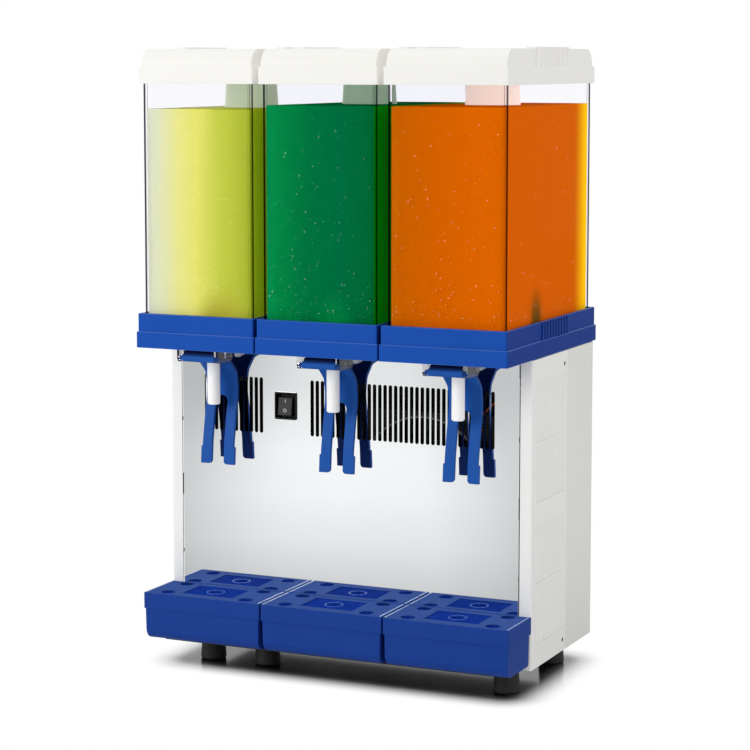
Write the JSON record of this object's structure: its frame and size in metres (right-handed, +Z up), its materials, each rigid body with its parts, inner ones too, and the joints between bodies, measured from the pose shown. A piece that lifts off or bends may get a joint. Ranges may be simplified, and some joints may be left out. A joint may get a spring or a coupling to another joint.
{
  "type": "refrigerated drink dispenser",
  "caption": "Countertop refrigerated drink dispenser: clear lidded tanks with cooling towers and push taps on a mirror-fronted cabinet with louvred sides and pull-out drip trays.",
  "frame": {"origin": "on the floor, under the middle of the collars that hold the tanks", "axes": "+Z up, -Y towards the taps and the mirror panel, +X to the right of someone who faces the taps"},
  "size_m": [0.4486, 0.284, 0.715],
  "materials": {
    "blue_moulding": "satin-gloss blue moulding, slightly darker on the trays and levers",
    "white_moulding": "smooth off-white moulding with a soft gloss",
    "clear_tank": "clear moulding, polished, with bright edges",
    "milky_column": "translucent milky moulding",
    "white_paint": "smooth off-white powder paint on sheet steel",
    "black_paint": "black paint on steel, slightly worn",
    "mirror_steel": "mirror-polished stainless steel sheet",
    "plain_steel": "plain drawn stainless steel",
    "black_moulding": "black moulding with a fine texture",
    "black_rubber": "matt black rubber",
    "black_fins": "thin aluminium fins, painted black"
  },
  "bodies": {
    "cabinet": {"base_plate": "black_paint", "foot_front_left": "black_rubber", "foot_front_right": "black_rubber", "foot_rear_left": "black_rubber", "foot_rear_right": "black_rubber", "foot_front_inner": "black_rubber", "mirror_front_panel": "mirror_steel", "left_side_panel": "white_paint", "right_side_panel": "white_paint", "rear_cover": "white_paint", "top_deck": "white_moulding", "compressor": "black_paint", "fan_shroud": "black_moulding", "fan_motor": "black_paint", "condenser": "black_fins", "power_inlet": "black_moulding", "thermostat": "black_moulding", "switch_bezel": "black_moulding", "evaporator_1": "plain_steel", "tank_gasket_1": "black_rubber", "mixing_column_1": "milky_column", "stirrer_motor_1": "black_paint", "evaporator_2": "plain_steel", "tank_gasket_2": "black_rubber", "mixing_column_2": "milky_column", "stirrer_motor_2": "black_paint", "evaporator_3": "plain_steel", "tank_gasket_3": "black_rubber", "mixing_column_3": "milky_column", "stirrer_motor_3": "black_paint"},
    "fan": {"fan_blades": "black_moulding"},
    "knob": {"thermostat_knob": "black_moulding"},
    "rocker": {"switch_rocker": "black_moulding"},
    "tank_unit_1": {"tank_1": "clear_tank", "collar_1": "blue_moulding", "tap_spring_1": "plain_steel"},
    "lid_1": {"lid_1": "white_moulding"},
    "lever_1": {"tap_lever_1": "blue_moulding"},
    "piston_1": {"tap_piston_1": "white_moulding"},
    "impeller_1": {"impeller_1": "white_moulding"},
    "tray_1": {"drip_tray_1": "blue_moulding"},
    "grid_1": {"drip_grid_1": "blue_moulding"},
    "tank_unit_2": {"tank_2": "clear_tank", "collar_2": "blue_moulding", "tap_spring_2": "plain_steel"},
    "lid_2": {"lid_2": "white_moulding"},
    "lever_2": {"tap_lever_2": "blue_moulding"},
    "piston_2": {"tap_piston_2": "white_moulding"},
    "impeller_2": {"impeller_2": "white_moulding"},
    "tray_2": {"drip_tray_2": "blue_moulding"},
    "grid_2": {"drip_grid_2": "blue_moulding"},
    "tank_unit_3": {"tank_3": "clear_tank", "collar_3": "blue_moulding", "tap_spring_3": "plain_steel"},
    "lid_3": {"lid_3": "white_moulding"},
    "lever_3": {"tap_lever_3": "blue_moulding"},
    "piston_3": {"tap_piston_3": "white_moulding"},
    "impeller_3": {"impeller_3": "white_moulding"},
    "tray_3": {"drip_tray_3": "blue_moulding"},
    "grid_3": {"drip_grid_3": "blue_moulding"}
  },
  "joints": [
    {"name": "tank_lift_1", "type": "slide", "parent": "cabinet", "child": "tank_unit_1", "axis": [0, 0, 1], "range_m": [0, 0.12]},
    {"name": "lid_lift_1", "type": "slide", "parent": "tank_unit_1", "child": "lid_1", "axis": [0, 0, 1], "range_m": [0, 0.08]},
    {"name": "lever_pull_1", "type": "hinge", "parent": "tank_unit_1", "child": "lever_1", "pos_m": [-0.15, -0.1305, 0.368], "axis": [1, 0, 0], "range_deg": [0, 8], "stiffness_Nm_per_rad": 0.6, "springref_deg": -5.73},
    {"name": "piston_lift_1", "type": "slide", "parent": "tank_unit_1", "child": "piston_1", "axis": [0, 0, 1], "range_m": [0, 0.005], "deforming": ["tap_spring_1"]},
    {"name": "impeller_spin_1", "type": "hinge", "parent": "cabinet", "child": "impeller_1", "pos_m": [-0.15, 0, 0.4473], "axis": [0, 0, 1], "continuous": true},
    {"name": "tray_slide_1", "type": "slide", "parent": "cabinet", "child": "tray_1", "axis": [0, -1, 0], "range_m": [0, 0.06]},
    {"name": "grid_lift_1", "type": "slide", "parent": "tray_1", "child": "grid_1", "axis": [0, 0, 1], "range_m": [0, 0.03]},
    {"name": "tank_lift_2", "type": "slide", "parent": "cabinet", "child": "tank_unit_2", "axis": [0, 0, 1], "range_m": [0, 0.12]},
    {"name": "lid_lift_2", "type": "slide", "parent": "tank_unit_2", "child": "lid_2", "axis": [0, 0, 1], "range_m": [0, 0.08]},
    {"name": "lever_pull_2", "type": "hinge", "parent": "tank_unit_2", "child": "lever_2", "pos_m": [0, -0.1305, 0.368], "axis": [1, 0, 0], "range_deg": [0, 8], "stiffness_Nm_per_rad": 0.6, "springref_deg": -5.73},
    {"name": "piston_lift_2", "type": "slide", "parent": "tank_unit_2", "child": "piston_2", "axis": [0, 0, 1], "range_m": [0, 0.005], "deforming": ["tap_spring_2"]},
    {"name": "impeller_spin_2", "type": "hinge", "parent": "cabinet", "child": "impeller_2", "pos_m": [0, 0, 0.4473], "axis": [0, 0, 1], "continuous": true},
    {"name": "tray_slide_2", "type": "slide", "parent": "cabinet", "child": "tray_2", "axis": [0, -1, 0], "range_m": [0, 0.06]},
    {"name": "grid_lift_2", "type": "slide", "parent": "tray_2", "child": "grid_2", "axis": [0, 0, 1], "range_m": [0, 0.03]},
    {"name": "tank_lift_3", "type": "slide", "parent": "cabinet", "child": "tank_unit_3", "axis": [0, 0, 1], "range_m": [0, 0.12]},
    {"name": "lid_lift_3", "type": "slide", "parent": "tank_unit_3", "child": "lid_3", "axis": [0, 0, 1], "range_m": [0, 0.08]},
    {"name": "lever_pull_3", "type": "hinge", "parent": "tank_unit_3", "child": "lever_3", "pos_m": [0.15, -0.1305, 0.368], "axis": [1, 0, 0], "range_deg": [0, 8], "stiffness_Nm_per_rad": 0.6, "springref_deg": -5.73},
    {"name": "piston_lift_3", "type": "slide", "parent": "tank_unit_3", "child": "piston_3", "axis": [0, 0, 1], "range_m": [0, 0.005], "deforming": ["tap_spring_3"]},
    {"name": "impeller_spin_3", "type": "hinge", "parent": "cabinet", "child": "impeller_3", "pos_m": [0.15, 0, 0.4473], "axis": [0, 0, 1], "continuous": true},
    {"name": "tray_slide_3", "type": "slide", "parent": "cabinet", "child": "tray_3", "axis": [0, -1, 0], "range_m": [0, 0.06]},
    {"name": "grid_lift_3", "type": "slide", "parent": "tray_3", "child": "grid_3", "axis": [0, 0, 1], "range_m": [0, 0.03]},
    {"name": "fan_spin", "type": "hinge", "parent": "cabinet", "child": "fan", "pos_m": [0.085, -0.029, 0.228], "axis": [0, 1, 0], "continuous": true},
    {"name": "rocker_tilt", "type": "hinge", "parent": "cabinet", "child": "rocker", "pos_m": [-0.075, -0.0605, 0.31], "axis": [1, 0, 0], "range_deg": [0, 16]},
    {"name": "knob_turn", "type": "hinge", "parent": "cabinet", "child": "knob", "pos_m": [0.15, 0.1375, 0.32], "axis": [0, 1, 0], "range_deg": [-135, 135]}
  ],
  "couplings": [
    {"joint": "piston_lift_1", "follows": "lever_pull_1", "m_per_rad": 0.034},
    {"joint": "piston_lift_2", "follows": "lever_pull_2", "m_per_rad": 0.034},
    {"joint": "piston_lift_3", "follows": "lever_pull_3", "m_per_rad": 0.034}
  ]
}
